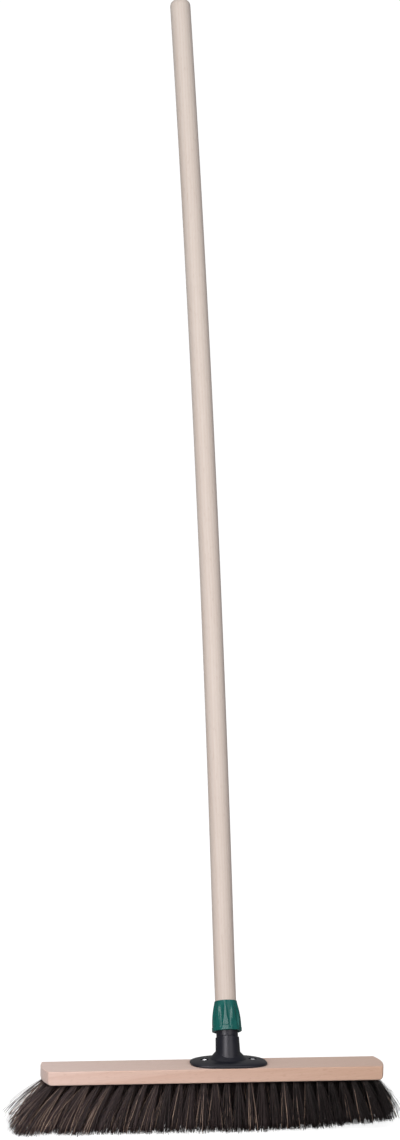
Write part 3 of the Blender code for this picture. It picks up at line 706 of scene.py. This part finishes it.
# %% The screws' sizes
CAD_HEAD_HEIGHT = 2.6 * MM
SCREW_HEAD_HEIGHT = 3.2 * MM
SCREW_CORE_RADIUS = 1.25 * MM
SCREW_THREAD = 0.65 * MM
SCREW_THREAD_PITCH = 1.6 * MM
SCREW_PLAIN = 2.5 * MM
SCREW_POINT = 4 * MM
RECESS_DEPTH = 1.3 * MM
RECESS_ARM = 2.1 * MM
RECESS_HALF_WIDTH = 0.6 * MM
RECESS_SLOPE = 0.3 * MM
SCREW_COLUMNS = 96
HEAD_RINGS = 30
SHANK_RINGS = 69
THREAD_SHARPNESS = 2.2
DRIVER_TURNS = (0.35, 1.1)
print("recess", round(2 * RECESS_ARM / MM, 1), "mm across")


# %% The screws' shape
def cross_recess(x, y):
    """Depth at a place on the head: two crossed bars, whose walls slope in over a short way."""
    def bar(along, across):
        ends = np.clip((RECESS_ARM - np.abs(along)) / RECESS_SLOPE / 2, 0, 1)
        sides = np.clip((RECESS_HALF_WIDTH - np.abs(across)) / RECESS_SLOPE, 0, 1)
        return ends * sides
    return RECESS_DEPTH * np.maximum(bar(x, y), bar(y, x))


def screw_mesh(name, head_radius, length, middle, seat, driver_turn):
    """A head, a quarter ellipse turned round less the recess, and a shank with a helical ridge."""
    turn = np.linspace(0, math.tau, SCREW_COLUMNS, endpoint=False)
    rise = np.linspace(0, math.pi / 2, HEAD_RINGS + 1)[1:, None]
    head_r = head_radius * np.sin(rise) + 0 * turn
    head_z = SCREW_HEAD_HEIGHT * np.cos(rise) - cross_recess(
        head_r * np.cos(turn + driver_turn), head_r * np.sin(turn + driver_turn))
    down = np.linspace(0, length, SHANK_RINGS + 1)[:-1, None]
    pointed = np.clip((length - down) / SCREW_POINT, 0, 1)
    phase = (down / SCREW_THREAD_PITCH - turn / math.tau) % 1.0
    ridge = np.clip(1 - np.abs(2 * phase - 1) * THREAD_SHARPNESS, 0, 1)
    ridge = ridge * np.clip((down - SCREW_PLAIN) / MM, 0, 1)
    shank_r = (SCREW_CORE_RADIUS + SCREW_THREAD * ridge) * pointed
    radius = np.concatenate([head_r, shank_r])
    height = np.concatenate([head_z, -down + 0 * turn])
    rings = np.stack([radius * np.cos(turn), radius * np.sin(turn), height], axis=2)
    ends = np.array([(0, 0, SCREW_HEAD_HEIGHT - RECESS_DEPTH), (0, 0, -length)])
    points = np.concatenate([rings.reshape(-1, 3), ends]) + (*middle, seat)
    number = np.arange(rings[..., 0].size).reshape(rings.shape[:2])
    first, last = number[0], number[-1]
    top = np.stack([np.full_like(first, number.size), first, np.roll(first, -1)], axis=1)
    bottom = np.stack([np.full_like(last, number.size + 1), np.roll(last, -1), last], axis=1)
    return mesh_from_arrays(name, points, [ring_quads(number), top, bottom], sharp_degrees=50)


for side, middle, driver_turn in zip(SCREW_SIDES, SCREW_MIDDLES, DRIVER_TURNS):
    low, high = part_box(f"flange_screw_{side}")
    seat = high[2] - CAD_HEAD_HEIGHT
    mesh = screw_mesh(f"screw_{side}", (high[0] - low[0]) / 2, seat - low[2], middle, seat, driver_turn)
    screw = add_piece(f"screw_{side}", mesh, STEEL, "head")
    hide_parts(f"flange_screw_{side}")
print("screws have", len(mesh.polygons), "faces each")


# %% [markdown]
# ## Bristle finish
# The bristles are dark brown hairs. Seen from a step away they are a mass of brown and near-black with a few
# lighter ones. That could take a material for each shade. Here each hair carries its shade as a number from
# 0 to 1, a second number says how far along the hair a point is, and one material makes colour of both.

# %% The bristles' finish
HAIR_DARK = (0.012, 0.009, 0.009, 1)
HAIR_BROWN = (0.128, 0.086, 0.085, 1)
HAIR_PALE = (0.62, 0.43, 0.33, 1)
# Painted shade at the roots, under the block.
HAIR_ROOT_SHADE = (0.02, 0.014, 0.012, 1)
BROWN_TOP = 0.8
LIGHT_FROM = 0.85


def make_bristle_finish():
    """Brown hair: its shade picks the colour, roots get painted shade, and pale hairs are palest at the tip.
    """
    made, tree, shader = new_material("bristle_brown", 0.45, Specular_IOR_Level=0.28)
    shade = add_node(tree, "ShaderNodeAttribute", attribute_name="shade").outputs["Fac"]
    along = add_node(tree, "ShaderNodeAttribute", attribute_name="along").outputs["Fac"]
    tone = mix(tree, spread(tree, shade, 0.0, BROWN_TOP), HAIR_DARK, HAIR_BROWN)
    pale = spread(tree, shade, LIGHT_FROM, 0.95)
    pale = arithmetic(tree, "MULTIPLY", pale, spread(tree, along, 0.1, 0.6, 0.3, 1.0))
    tone = mix(tree, pale, tone, HAIR_PALE)
    # Painted shade near the roots, under the block.
    tone = mix(tree, spread(tree, along, 0.0, 0.35, 0.35, 0.0), tone, HAIR_ROOT_SHADE)
    tree.links.new(tone, shader.inputs["Base Color"])
    return made


BRISTLE = make_bristle_finish()
report(BRISTLE)


# %% [markdown]
# ## Hairs
# A tuft is a bundle of hairs folded into a drilled hole. The hairs leave it together and spread: the tufts at
# the ends lean outwards, and their hairs curve back down under their own spring. So a hair's sideways reach
# follows a quarter wave of the height, steep at the root and upright at the tip. All hairs are trimmed to one
# height, but the right end has worn shorter. A hair system would look alike, but the exported model needs
# real meshes, so each hair is a three-sided tube of its own.

# %% How far a tuft leans
LEAN_LEFT = math.radians(39.5)
LEAN_RIGHT = math.radians(21)
LEAN_GROWTH_LEFT = 0.85
LEAN_GROWTH_RIGHT = 1.6
REAR_HOLD = 0.16
STRAIGHT_SHARE = 0.6
RIGHT_WEAR = 12 * MM
WEAR_GROWTH = 2.5
CORNER_LEFT = 235 * MM
CORNER_RIGHT = 211 * MM
CORNER_SLOPE = (0.3, 1.7)
ROW_SPREAD = 0.25


def sideways_reach(x, row):
    """How far a hair's tip lies from its root along X: the lean grows from the block's middle to each end.

    The rows behind the front one lean a little less at the left.
    """
    share = np.abs(x) / BLOCK_HALF_LENGTH
    left = -np.tan(LEAN_LEFT * share ** LEAN_GROWTH_LEFT) * (1 - REAR_HOLD * row / (len(ROW_TUFTS) - 1))
    right = np.tan(LEAN_RIGHT * share ** LEAN_GROWTH_RIGHT)
    return np.where(x < 0, left, right) * BLOCK_BOTTOM


def trim_height(root_x, tip_x, chance):
    """The height of the tips: level, worn shorter towards the right end, and ragged past both corners."""
    worn = RIGHT_WEAR * np.clip(root_x / BLOCK_HALF_LENGTH, 0, None) ** WEAR_GROWTH
    past_corner = np.where(tip_x < 0, -tip_x - CORNER_LEFT, tip_x - CORNER_RIGHT)
    return worn + chance.uniform(*CORNER_SLOPE, len(tip_x)) * np.clip(past_corner, 0, None)


print("reach at the ends:", np.round(sideways_reach(np.array([-1, 1]) * LONG_ROW_HALF, 0) / MM, 1), "mm")


# %% [markdown]
# Each row of tufts becomes one mesh. Hairs stick together in small clumps: a hair starts at a random place
# in its hole, and its tip goes partly to its own place in the fan and partly to its clump's. It wanders a
# little with a wave of its own and ends near the trim height. Now and then a whole clump goes astray, most
# often at the left end, where the broom has been knocked about, and one hair in 36 leaves its tuft alone.

# %% Clumps
CLUMPS_IN_TUFT = 12
CLUMP_FAN = 2.2 * MM
STRAY_FAN = 7 * MM
ASTRAY_CHANCE = 1 / 50
END_ASTRAY_CHANCE = 1 / 5
END_ASTRAY_RISE = 20 * MM
END_ASTRAY_REACH = 9 * MM
END_ASTRAY_DEPTH = 0.3


def spots_in_disc(count, chance):
    """Random places in a disc of radius 1."""
    turn = chance.uniform(0, math.tau, count)
    return np.stack([np.cos(turn), np.sin(turn)], axis=1) * np.sqrt(chance.random(count))[:, None]


def clump_shifts(tufts, chance):
    """Whether each clump goes astray, how far its tips are shifted, and how much higher they stand."""
    tuft = np.repeat(np.arange(tufts), CLUMPS_IN_TUFT)
    left_end = tuft == 0
    likely = np.where(left_end, END_ASTRAY_CHANCE, np.where(tuft == tufts - 1, 0, ASTRAY_CHANCE))
    astray = chance.random(len(likely)) < likely
    shift = np.where(astray, STRAY_FAN, CLUMP_FAN)[:, None] * chance.normal(0, 1, (len(likely), 2))
    outwards = astray & left_end
    shift[outwards, 0] = -chance.uniform(0, END_ASTRAY_REACH, outwards.sum())
    shift[outwards, 1] *= END_ASTRAY_DEPTH
    return astray, shift, outwards * END_ASTRAY_RISE * chance.random(len(likely))


print("clumps in all:", sum(ROW_TUFTS) * CLUMPS_IN_TUFT)

# %% Tips
HAIRS_IN_TUFT = 120
HAIR_RADIUS = 0.22 * MM
CLUMP_SHARE = 0.35
ASTRAY_CLUMP_SHARE = 0.92
ASTRAY_LOOSENESS = 0.35
TIP_FAN = 9.5 * MM
TUFT_FAN = 0.9 * MM
LOOSE_FAN = 1.6 * MM
STRAY_SHARE = 1 / 36
STRAY_RISE = 9 * MM
STRAY_ROOM = 10 * MM
TUFT_TRIM = 0.9 * MM
CLUMP_TRIM = 0.55 * MM
HAIR_TRIM = 0.25 * MM


def hair_ends(row, tuft, chance):
    """Each hair's root, reach, fan and tip height.

    The reach follows the lean. The fan blends the hair's own place in a disc with its clump's, and adds
    random shifts of the tuft, the hair and the clump.
    """
    tufts = ROW_TUFTS[row]
    count = len(tuft)
    lay = spots_in_disc(count, chance)
    middle = np.stack([tuft_middles(row)[tuft], np.full(count, ROW_Y[row])], axis=1)
    root = middle + lay * (HOLE_RADIUS - HAIR_RADIUS)
    clump = tuft * CLUMPS_IN_TUFT + chance.integers(0, CLUMPS_IN_TUFT, count)
    clump_lay = spots_in_disc(tufts * CLUMPS_IN_TUFT, chance)[clump]
    tuft_shift = chance.normal(0, TUFT_FAN, (tufts, 2))[tuft]
    stray = chance.random(count) < STRAY_SHARE
    loose = np.where(stray, STRAY_FAN, LOOSE_FAN)[:, None] * chance.normal(0, 1, (count, 2))
    astray, clump_shift, rise = clump_shifts(tufts, chance)
    together = np.where(astray, ASTRAY_CLUMP_SHARE, CLUMP_SHARE)[clump, None]
    loose *= np.where(astray, ASTRAY_LOOSENESS, 1)[clump, None]
    fan = (lay * (1 - together) + clump_lay * together) * TIP_FAN + tuft_shift + loose + clump_shift[clump]
    fan[:, 1] += ROW_Y[row] * ROW_SPREAD
    reach = sideways_reach(root[:, 0], row)
    upright = root[:, 0] + reach
    tip_x = np.clip(upright + fan[:, 0], cad_low[0] - STRAY_ROOM, cad_high[0] + STRAY_ROOM)
    fan[:, 0] = tip_x - upright
    trim = chance.uniform(0, TUFT_TRIM, tufts)[tuft] + np.abs(chance.normal(0, HAIR_TRIM, count))
    trim += np.abs(chance.normal(0, CLUMP_TRIM, tufts * CLUMPS_IN_TUFT))[clump]
    low = trim_height(root[:, 0], tip_x, chance) + trim + rise[clump]
    return root, reach, fan, low + stray * chance.uniform(0, STRAY_RISE, count)


print("hairs in all:", sum(ROW_TUFTS) * HAIRS_IN_TUFT)

# %% The middle lines of a row's hairs
HAIR_STEPS = 6
FAN_GROWTH = 0.9
ROOT_DEPTH = 1.5 * MM
HAIR_WAVE = 0.35 * MM
WAVES_IN_HAIR = 1.2
WAVE_ONSET = 0.6


def hair_lines(row, tuft, chance):
    """Points of shape (hairs, steps + 1, 3), from root to tip.

    With t the share of the height: x = root + reach * (part t, part sine of t quarter turns) + fan * a power
    of t + wave, y = root + fan * the same power + wave, and z runs evenly from inside the hole to the tip.
    """
    root, reach, fan, low = hair_ends(row, tuft, chance)
    t = np.linspace(0, 1, HAIR_STEPS + 1)
    wave = chance.normal(0, HAIR_WAVE, (len(tuft), 2))
    phase = chance.uniform(0, math.tau, len(tuft))
    waving = np.sin(t * math.tau * WAVES_IN_HAIR + phase[:, None]) * np.sin(t * math.pi * WAVE_ONSET)
    fanned = fan[:, None] * t[None, :, None] ** FAN_GROWTH
    line = np.empty((len(tuft), HAIR_STEPS + 1, 3))
    line[:, :, :2] = root[:, None] + fanned + wave[:, None] * waving[:, :, None]
    line[:, :, 0] += reach[:, None] * (STRAIGHT_SHARE * t + (1 - STRAIGHT_SHARE) * np.sin(t * math.pi / 2))
    top = BLOCK_BOTTOM + ROOT_DEPTH
    line[:, :, 2] = top + (low[:, None] - top) * t
    return line


# %% [markdown]
# The bristles are browner at the left, with more pale hairs, and nearly black at the right. Most of this is
# painted shade, as less light reaches the right end; the pale hairs are partly the bristle mix and partly
# painted shade. So the two shares below are given at a few places along the block, from -1 at its left end to
# 1 at its right end.

# %% Shades
# Painted shade: brown hairs darken from the left end to the right, and pale hairs thin out.
SHADED_BROWN_PLACES = (-1, -0.6, 0, 1)
SHADED_BROWN_SHARES = (0.95, 0.75, 0.55, 0.05)
TUFT_SHADE = 0.08
LIGHT_PLACES = (-1, -0.4, 0.3, 1)
LIGHT_SHARES = (0.22, 0.09, 0.035, 0.005)
LIGHT_SHADES = (0.87, 1.0)
LIGHT_THICKNESS = 1.1


def hair_shades(x, tuft, chance):
    """Each hair's shade: brown ones vary by hair and by tuft and get painted shade to the right, a few are
    light.
    """
    place = x / BLOCK_HALF_LENGTH
    tuft_shade = chance.normal(0, TUFT_SHADE, tuft.max() + 1)[tuft]
    brown = np.clip(chance.random(len(x)) + tuft_shade, 0, 1) * BROWN_TOP
    # Painted shade towards the right end.
    brown = brown * np.interp(place, SHADED_BROWN_PLACES, SHADED_BROWN_SHARES)
    light = chance.random(len(x)) < np.interp(place, LIGHT_PLACES, LIGHT_SHARES)
    return np.where(light, chance.uniform(*LIGHT_SHADES, len(x)), brown)


print("light hairs at the left:", LIGHT_SHARES[0])


# %% [markdown]
# A tube round a line needs a ring of corners at every point. The rings lie level, which keeps the sum simple
# and cuts the tips flat, as a trimmed brush has them.

# %% Tubes round the lines
FIRST_SEED = 100
HAIR_SIDES = 3
THICKNESS_RANGE = (0.75, 1.25)
TIP_THICKNESS = 0.9


def hair_tubes(name, line, shade, chance):
    """Three-sided tubes: level rings of corners round each line, joined by quads and closed at both ends."""
    count, levels, _ = line.shape
    turn = chance.uniform(0, math.tau, count)[:, None] + np.arange(HAIR_SIDES) * math.tau / HAIR_SIDES
    thick = HAIR_RADIUS * chance.uniform(*THICKNESS_RANGE, count)
    thick = thick * np.where(shade > LIGHT_FROM, LIGHT_THICKNESS, 1)
    taper = np.linspace(1.0, TIP_THICKNESS, levels)
    ring = np.stack([np.cos(turn), np.sin(turn), np.zeros_like(turn)], axis=2) * thick[:, None, None]
    points = line[:, :, None] + ring[:, None] * taper[None, :, None, None]
    number = np.arange(points[..., 0].size).reshape(count, levels, HAIR_SIDES)
    caps = np.concatenate([number[:, 0], number[:, -1, ::-1]])
    mesh = mesh_from_arrays(name, points.reshape(-1, 3), [ring_quads(number), caps])
    per_point = {"shade": np.repeat(shade, levels * HAIR_SIDES),
                 "along": np.tile(np.repeat(np.linspace(0, 1, levels), HAIR_SIDES), count)}
    for label, values in per_point.items():
        mesh.attributes.new(label, "FLOAT", "POINT").data.foreach_set("value", values.astype(np.float32))
    return mesh


for row in range(len(ROW_TUFTS)):
    chance = np.random.default_rng(FIRST_SEED + row)
    tuft = np.repeat(np.arange(ROW_TUFTS[row]), HAIRS_IN_TUFT)
    line = hair_lines(row, tuft, chance)
    shade = hair_shades(line[:, 0, 0], tuft, chance)
    mesh = hair_tubes(f"hairs_{row + 1}", line, shade, chance)
    hairs = add_piece(f"hairs_{row + 1}", mesh, BRISTLE, "head")
    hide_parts(f"bristle_row_{row + 1}")
    print(hairs.name, "has", len(mesh.polygons), "faces")


# %% [markdown]
# ## Drilled underside
# Under the block, each tuft stands in a round hole. The CAD model has a groove for each row, filled by the
# strands' backing, and that backing is hidden now. A strip of wood with the holes in it fills the groove.
# Cutting the holes one by one would be slow, so the lower face is made of cells: a rectangle whose border
# shrinks to a circle, goes down the hole and closes.

# %% The strips' sizes
STRIP_FIT = 0.02 * MM
GROOVE_END = 3.8 * MM
GROOVE_WIDTH = 7 * MM
STRIP_HALF_LENGTH = LONG_ROW_HALF + GROOVE_END - STRIP_FIT
STRIP_WIDTH = GROOVE_WIDTH - 2 * STRIP_FIT
STRIP_HEIGHT = 4.2 * MM
HOLE_DEPTH = 2.5 * MM
CELL_SIDE_STEPS = 6
print("strips", round(2 * STRIP_HALF_LENGTH / MM, 1), "mm long")


# %% A strip of holes for each row
def hole_cells(row):
    """Points of shape (tufts, 4, border, 3): cell border, hole edge, floor edge and floor middle."""
    middle_x = tuft_middles(row)
    cuts = np.concatenate([[-STRIP_HALF_LENGTH], (middle_x[1:] + middle_x[:-1]) / 2, [STRIP_HALF_LENGTH]])
    side = np.linspace(-1, 1, CELL_SIDE_STEPS + 1)[:-1]
    one = np.ones(CELL_SIDE_STEPS)
    square_x = np.concatenate([side, one, -side, -one])
    square_y = np.concatenate([-one, side, one, -side])
    low, high = cuts[:-1, None], cuts[1:, None]
    border_x = (low + high) / 2 + square_x * (high - low) / 2
    border_y = np.broadcast_to(square_y * STRIP_WIDTH / 2, border_x.shape)
    turn = np.arctan2(border_y, border_x - middle_x[:, None])
    edge_x = middle_x[:, None] + HOLE_RADIUS * np.cos(turn)
    edge_y = HOLE_RADIUS * np.sin(turn)
    centre_x = np.broadcast_to(middle_x[:, None], edge_x.shape)
    levels = [(border_x, border_y, 0.0), (edge_x, edge_y, 0.0), (edge_x, edge_y, HOLE_DEPTH),
              (centre_x, np.zeros_like(edge_x), HOLE_DEPTH)]
    return np.stack([np.stack([x, y + ROW_Y[row], np.full_like(x, BLOCK_BOTTOM + z)], axis=2)
                     for x, y, z in levels], axis=1)


def strip_mesh(row):
    """The cells as one sheet, whose outer border is raised into walls and closed on top."""
    cells = hole_cells(row)
    number = np.arange(cells[..., 0].size).reshape(cells.shape[:3])
    mesh = mesh_from_arrays(f"drilled_strip_{row + 1}", cells.reshape(-1, 3), [ring_quads(number)])
    shape = bmesh.new()
    shape.from_mesh(mesh)
    bmesh.ops.remove_doubles(shape, verts=shape.verts, dist=SAME_PLACE)
    border = [edge for edge in shape.edges if edge.is_boundary]
    walls = bmesh.ops.extrude_edge_only(shape, edges=border)["geom"]
    raised = [part for part in walls if isinstance(part, bmesh.types.BMVert)]
    bmesh.ops.translate(shape, vec=(0, 0, STRIP_HEIGHT), verts=raised)
    bmesh.ops.contextual_create(shape, geom=[part for part in walls if isinstance(part, bmesh.types.BMEdge)])
    bmesh.ops.recalc_face_normals(shape, faces=shape.faces)
    shape.to_mesh(mesh)
    shape.free()
    mesh.shade_smooth()
    mesh.set_sharp_from_angle(angle=math.radians(35))
    return mesh


for row in range(len(ROW_TUFTS)):
    add_piece(f"drilled_strip_{row + 1}", strip_mesh(row), BEECH, "head")
print("holes drilled:", sum(ROW_TUFTS))


# %% [markdown]
# ## Studio
# The broom stands on a large white floor under a white sky. A tall soft lamp at the left front gives the form
# its light side and the plastic its narrow highlight, and a small one below it lights the bristles. A faint
# one above lights the tops from behind, and a broad one on the right keeps the dark side open. The camera
# sees floor and sky brighter than they light the broom, so the background is white and the plastic still has
# dark edges. Light Path does it, which tells the camera's rays from all others.

# %% Floor
FLOOR_REACH = 150.0
FLOOR_LIGHT = (0.31, 0.31, 0.31, 1)
FLOOR_DARK = (0.29, 0.29, 0.29, 1)
FLOOR_CLOUD_SCALE = 0.8
GLOW_DISTANCES = (0.5, 2.5)
GLOW_STRENGTHS = (0.89, 0.96)


def make_floor_finish():
    """Matt white paint that shines a little for the camera's rays alone."""
    made, tree, shader = new_material("studio_floor", 0.9, Specular_IOR_Level=0.1)
    cloud = noise(tree, object_position(tree), FLOOR_CLOUD_SCALE, 2).outputs["Fac"]
    tree.links.new(mix(tree, cloud, FLOOR_LIGHT, FLOOR_DARK), shader.inputs["Base Color"])
    shader.inputs["Emission Color"].default_value = (1, 1, 1, 1)
    far = far_from_origin(tree, object_position(tree))
    glow = spread(tree, far, *GLOW_DISTANCES, *GLOW_STRENGTHS)
    seen = add_node(tree, "ShaderNodeLightPath").outputs["Is Camera Ray"]
    tree.links.new(arithmetic(tree, "MULTIPLY", seen, glow), shader.inputs["Emission Strength"])
    return made


corners = np.array([(-1, -1, 0), (1, -1, 0), (1, 1, 0), (-1, 1, 0)]) * FLOOR_REACH
mesh = mesh_from_arrays("studio_floor", corners, [np.array([[0, 1, 2, 3]])])
floor = add_object("studio_floor", mesh)
mesh.materials.append(make_floor_finish())
floor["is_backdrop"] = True
print("the floor is", 2 * FLOOR_REACH, "m wide")

# %% Lamps
# Name, place, target, width, height and power in watts.
LAMPS = (
    ("key", (-0.8, -1.25, 1.58), (0.02, 0.32, 1.12), 0.9, 2.0, 31),
    ("low", (-0.8, -0.85, 0.3), (-0.04, 0, 0.07), 0.5, 0.4, 3.3),
    ("overhead", (0, 1.0, 2.2), (0, 0, 0.07), 1.2, 1.4, 4),
    ("fill", (0.9, -2.3, 1.2), (0, 0.2, 0.5), 2.0, 2.0, 24))


def add_lamp(name, place, target, width, height, power):
    """A rectangular soft lamp at a place, facing a target."""
    light = bpy.data.lights.new(name, "AREA")
    light.shape = "RECTANGLE"
    light.size = width
    light.size_y = height
    light.energy = power
    lamp = add_object(name, light)
    lamp.location = place
    direction = Vector(target) - Vector(place)
    lamp.rotation_euler = direction.to_track_quat("-Z", "Y").to_euler()


for lamp in LAMPS:
    add_lamp(*lamp)
print("lamps:", len(LAMPS), "with", sum(lamp[-1] for lamp in LAMPS), "W in all")

# %% Sky
SKY_LIGHT = 0.27
sky = bpy.data.worlds.new("white_sky")
sky.use_nodes = True
background = sky.node_tree.nodes["Background"]
background.inputs["Color"].default_value = (1, 1, 1, 1)
seen = add_node(sky.node_tree, "ShaderNodeLightPath").outputs["Is Camera Ray"]
sky.node_tree.links.new(spread(sky.node_tree, seen, 0, 1, SKY_LIGHT, 1.0), background.inputs["Strength"])
bpy.context.scene.world = sky
bpy.context.scene.view_settings.view_transform = "Standard"
print("sky light", SKY_LIGHT)

# %% [markdown]
# ## Camera
# The photograph was taken from the front, a little to the left and from above, with the broom leaning away.
# The lens is long, so the handle hardly tapers. The three angles were worked out from the block's edges and
# the handle's line in the picture.

# %% Place the camera
CAMERA_PLACE = (-1.1851, -6.5644, 1.5831)
CAMERA_AZIMUTH = math.radians(10)
CAMERA_DOWN = math.radians(7.878)
CAMERA_ROLL = math.radians(1.239)
LENS = 183.4
SENSOR_WIDTH = 36
SIGHT_REACH = 400

lens = bpy.data.cameras.new("camera")
lens.lens = LENS
lens.sensor_width = SENSOR_WIDTH
lens.clip_end = SIGHT_REACH
camera = add_object("camera", lens)
forward = np.array([math.sin(CAMERA_AZIMUTH) * math.cos(CAMERA_DOWN),
                    math.cos(CAMERA_AZIMUTH) * math.cos(CAMERA_DOWN), -math.sin(CAMERA_DOWN)])
level_right = np.array([math.cos(CAMERA_AZIMUTH), -math.sin(CAMERA_AZIMUTH), 0])
level_up = np.cross(level_right, forward)
right = level_right * math.cos(CAMERA_ROLL) + level_up * math.sin(CAMERA_ROLL)
up = -level_right * math.sin(CAMERA_ROLL) + level_up * math.cos(CAMERA_ROLL)
turn = Matrix(np.stack([right, up, -forward], axis=1).tolist())
camera.rotation_euler = turn.to_euler()
camera.location = CAMERA_PLACE
bpy.context.scene.camera = camera
print("camera looks down", round(math.degrees(CAMERA_DOWN), 1), "degrees")

# %% [markdown]
# ## The visual box
# The visual model has to fill the same room as the CAD model, so its box is printed, in millimetres.

# %% The visual box
low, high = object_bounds()
print("visual box", [round(v / MM, 1) for v in low], [round(v / MM, 1) for v in high], "mm")
